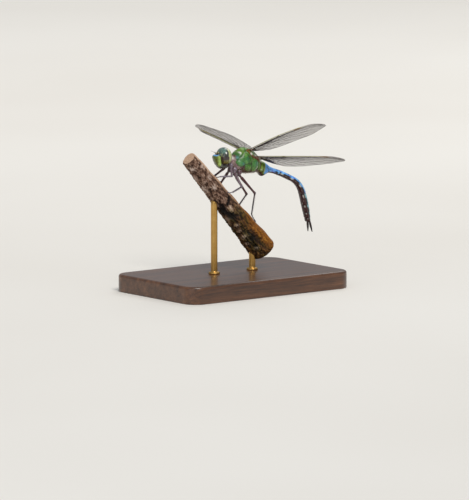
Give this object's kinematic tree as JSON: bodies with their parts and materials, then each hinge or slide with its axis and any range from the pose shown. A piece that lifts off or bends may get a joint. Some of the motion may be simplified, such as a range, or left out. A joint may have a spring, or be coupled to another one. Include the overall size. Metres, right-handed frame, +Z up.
{
  "type": "dragonfly",
  "caption": "Life-size male common green darner dragonfly gripping a cut length of dead stem, on a plain museum display stand.",
  "frame": {"origin": "centre of the stand base's underside", "axes": "+Z up from the surface that the stand rests on; the insect heads along -X, its left side is towards -Y and its right side towards +Y"},
  "size_m": [0.092, 0.0973, 0.0793],
  "materials": {
    "cuticle_green": "satin insect cuticle, leaf green shading to blue-green, dark sutures and fine pale hairs",
    "cuticle_face": "satin insect cuticle, olive to yellow-green",
    "cuticle_dark": "satin insect cuticle, dark reddish brown to black with fine spines",
    "abdomen_blue": "satin insect cuticle, sky blue sides with a dark red-brown back stripe and belly",
    "eye": "glossy compound eye, grey-teal above, brown in the middle, olive below",
    "wing": "clear, faintly smoky veined membrane with a yellow-green front edge",
    "bark": "rough weathered bark with pits and pale knobs, darker and amber towards the lower end",
    "stand_wood": "satin oiled walnut",
    "stand_brass": "brushed brass"
  },
  "bodies": {
    "root": {"face": "cuticle_face", "head": "cuticle_face", "jaw": "cuticle_dark", "eye_left": "eye", "eye_right": "eye", "antenna_left": "cuticle_dark", "antenna_right": "cuticle_dark", "leg_front_left_femur": "cuticle_dark", "leg_front_left_tibia": "cuticle_dark", "leg_front_left_tarsus": "cuticle_dark", "leg_front_right_femur": "cuticle_dark", "leg_front_right_tibia": "cuticle_dark", "leg_front_right_tarsus": "cuticle_dark", "leg_mid_left_femur": "cuticle_dark", "leg_mid_left_tibia": "cuticle_dark", "leg_mid_left_tarsus": "cuticle_dark", "leg_mid_right_femur": "cuticle_dark", "leg_mid_right_tibia": "cuticle_dark", "leg_mid_right_tarsus": "cuticle_dark", "leg_hind_left_femur": "cuticle_dark", "leg_hind_left_tibia": "cuticle_dark", "leg_hind_left_tarsus": "cuticle_dark", "leg_hind_right_femur": "cuticle_dark", "leg_hind_right_tibia": "cuticle_dark", "leg_hind_right_tarsus": "cuticle_dark", "wing_fore_left": "wing", "wing_fore_right": "wing", "wing_hind_left": "wing", "wing_hind_right": "wing", "thorax": "cuticle_green", "prothorax": "cuticle_dark", "neck": "cuticle_dark", "abdomen_1": "cuticle_green", "abdomen_2": "abdomen_blue", "abdomen_3": "abdomen_blue", "abdomen_4": "abdomen_blue", "abdomen_5": "abdomen_blue", "abdomen_6": "abdomen_blue", "abdomen_7": "abdomen_blue", "abdomen_8": "abdomen_blue", "abdomen_9": "abdomen_blue", "abdomen_10": "abdomen_blue", "cercus_left": "cuticle_dark", "cercus_right": "cuticle_dark", "perch": "bark", "stand_base": "stand_wood", "stand_rod_front": "stand_brass", "stand_rod_rear": "stand_brass"}
  },
  "joints": []
}
